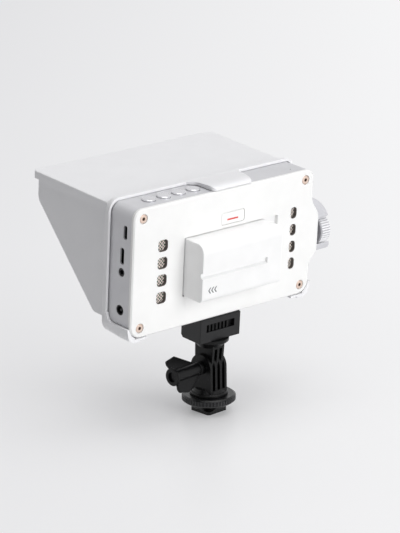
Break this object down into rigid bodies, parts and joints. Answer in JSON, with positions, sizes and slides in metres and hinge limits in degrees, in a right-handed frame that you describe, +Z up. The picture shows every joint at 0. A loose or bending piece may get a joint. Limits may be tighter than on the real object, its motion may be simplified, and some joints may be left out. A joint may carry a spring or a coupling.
{
  "type": "camera field monitor with sun hood",
  "caption": "Small on-camera monitor with a folding sun hood, a clip-on battery, menu buttons and a side dial, on a tilting and swivelling shoe mount.",
  "frame": {"origin": "middle of the shoe foot's flat bottom face", "axes": "+Z up, +X along the tilt hinge towards the wing knob, +Y towards the rear of the monitor, where the battery is; the screen looks towards -Y"},
  "size_m": [0.1844, 0.1279, 0.1656],
  "materials": {
    "cover_white": "smooth white paint on moulded ABS",
    "frame_silver": "fine bead-blasted silver",
    "dial_silver": "turned and ribbed",
    "hood_grey": "fine moulded texture, pale grey",
    "battery_white": "moulded white",
    "mount_black": "moulded black nylon",
    "mount_black_metal": "black anodised",
    "steel": "plated",
    "spreader_aluminium": "stamped plate",
    "nut_black": "black oxide",
    "screw_rose": "rose gold plate",
    "vent_mesh": "woven wire",
    "screen_glass": "black glass front",
    "lcd": "display stack",
    "board_green": "solder mask",
    "socket_steel": "stamped shell",
    "socket_black": "moulded black",
    "contact_brass": "plated strip",
    "pad_rubber": "moulded rubber"
  },
  "bodies": {
    "foot": {"shoe_foot": "mount_black_metal", "lower_fork": "mount_black", "hinge_nut": "nut_black"},
    "lock_wheel": {"shoe_lock_wheel": "mount_black_metal"},
    "wing_knob": {"wing_knob": "mount_black", "hinge_bolt": "steel"},
    "tilt_arm": {"upper_fork": "mount_black", "swivel_screw": "steel"},
    "head": {"head_block": "mount_black", "head_pad": "pad_rubber", "head_stud": "steel", "mid_frame": "frame_silver", "back_cover": "cover_white", "cover_screws": "screw_rose", "front_glass": "screen_glass", "lcd_panel": "lcd", "heat_spreader": "spreader_aluminium", "main_board": "board_green", "usb_socket": "socket_steel", "hdmi_socket": "socket_steel", "audio_jack": "socket_black", "dc_jack": "socket_black", "tripod_insert": "contact_brass", "button_board": "board_green", "encoder_body": "socket_black", "battery_plate": "battery_white", "battery_contacts": "contact_brass", "release_spring": "steel", "vent_mesh_left": "vent_mesh", "vent_mesh_right": "vent_mesh"},
    "slider": {"release_slider": "mount_black"},
    "battery": {"battery_case": "battery_white"},
    "battery_latch": {"battery_release": "cover_white"},
    "menu_1": {"menu_button_1": "frame_silver"},
    "menu_2": {"menu_button_2": "frame_silver"},
    "menu_3": {"menu_button_3": "frame_silver"},
    "menu_4": {"menu_button_4": "frame_silver"},
    "dial": {"dial_wheel": "dial_silver", "dial_shaft": "steel"},
    "hood": {"hood_frame": "hood_grey", "hood_top_pins": "steel", "hood_left_pin": "steel", "hood_right_pin": "steel"},
    "hood_top": {"hood_top_panel": "hood_grey"},
    "hood_left": {"hood_left_flap": "hood_grey"},
    "hood_right": {"hood_right_flap": "hood_grey"}
  },
  "joints": [
    {"name": "lock_wheel_turn", "type": "hinge", "parent": "foot", "child": "lock_wheel", "pos_m": [0, 0, 0.0097], "axis": [0, 0, 1], "continuous": true},
    {"name": "wing_knob_turn", "type": "hinge", "parent": "foot", "child": "wing_knob", "pos_m": [0.012, 0, 0.0318], "axis": [1, 0, 0], "continuous": true},
    {"name": "tilt", "type": "hinge", "parent": "foot", "child": "tilt_arm", "pos_m": [0, 0, 0.0318], "axis": [1, 0, 0], "range_deg": [-86.5, 93.5]},
    {"name": "swivel", "type": "hinge", "parent": "tilt_arm", "child": "head", "pos_m": [0, 0.00135, 0.05393], "axis": [0, 0.061, 0.9981], "continuous": true},
    {"name": "slider_slide", "type": "slide", "parent": "head", "child": "slider", "axis": [-0.9986, 0.0522, -0.0032], "range_m": [0, 0.0037], "stiffness_N_per_m": 60, "springref_m": -0.002},
    {"name": "battery_slide", "type": "slide", "parent": "head", "child": "battery", "axis": [-0.9986, 0.0522, -0.0032], "range_m": [0, 0.008]},
    {"name": "battery_release_press", "type": "slide", "parent": "head", "child": "battery_latch", "axis": [-0.0523, -0.9968, 0.061], "range_m": [0, 0.0015], "stiffness_N_per_m": 400, "springref_m": -0.0015},
    {"name": "menu_1_press", "type": "slide", "parent": "head", "child": "menu_1", "axis": [0, -0.061, -0.9981], "range_m": [0, 0.0007], "stiffness_N_per_m": 800, "springref_m": -0.0006},
    {"name": "menu_2_press", "type": "slide", "parent": "head", "child": "menu_2", "axis": [0, -0.061, -0.9981], "range_m": [0, 0.0007], "stiffness_N_per_m": 800, "springref_m": -0.0006},
    {"name": "menu_3_press", "type": "slide", "parent": "head", "child": "menu_3", "axis": [0, -0.061, -0.9981], "range_m": [0, 0.0007], "stiffness_N_per_m": 800, "springref_m": -0.0006},
    {"name": "menu_4_press", "type": "slide", "parent": "head", "child": "menu_4", "axis": [0, -0.061, -0.9981], "range_m": [0, 0.0007], "stiffness_N_per_m": 800, "springref_m": -0.0006},
    {"name": "dial_turn", "type": "hinge", "parent": "head", "child": "dial", "pos_m": [-0.09493, 0.00869, 0.11049], "axis": [0.9986, -0.0522, 0.0032], "continuous": true},
    {"name": "hood_slide", "type": "slide", "parent": "head", "child": "hood", "axis": [-0.0523, -0.9968, 0.061], "range_m": [0, 0.03]},
    {"name": "hood_top_lift", "type": "hinge", "parent": "hood", "child": "hood_top", "pos_m": [-0.00105, -0.0124, 0.15616], "axis": [-0.9986, 0.0522, -0.0032], "range_deg": [0, 12]},
    {"name": "hood_left_fold", "type": "hinge", "parent": "hood", "child": "hood_left", "pos_m": [0.07375, -0.01874, 0.11677], "axis": [0, -0.061, -0.9981], "range_deg": [0, 90]},
    {"name": "hood_right_fold", "type": "hinge", "parent": "hood", "child": "hood_right", "pos_m": [-0.07584, -0.01091, 0.11629], "axis": [0, 0.061, 0.9981], "range_deg": [0, 90]}
  ]
}
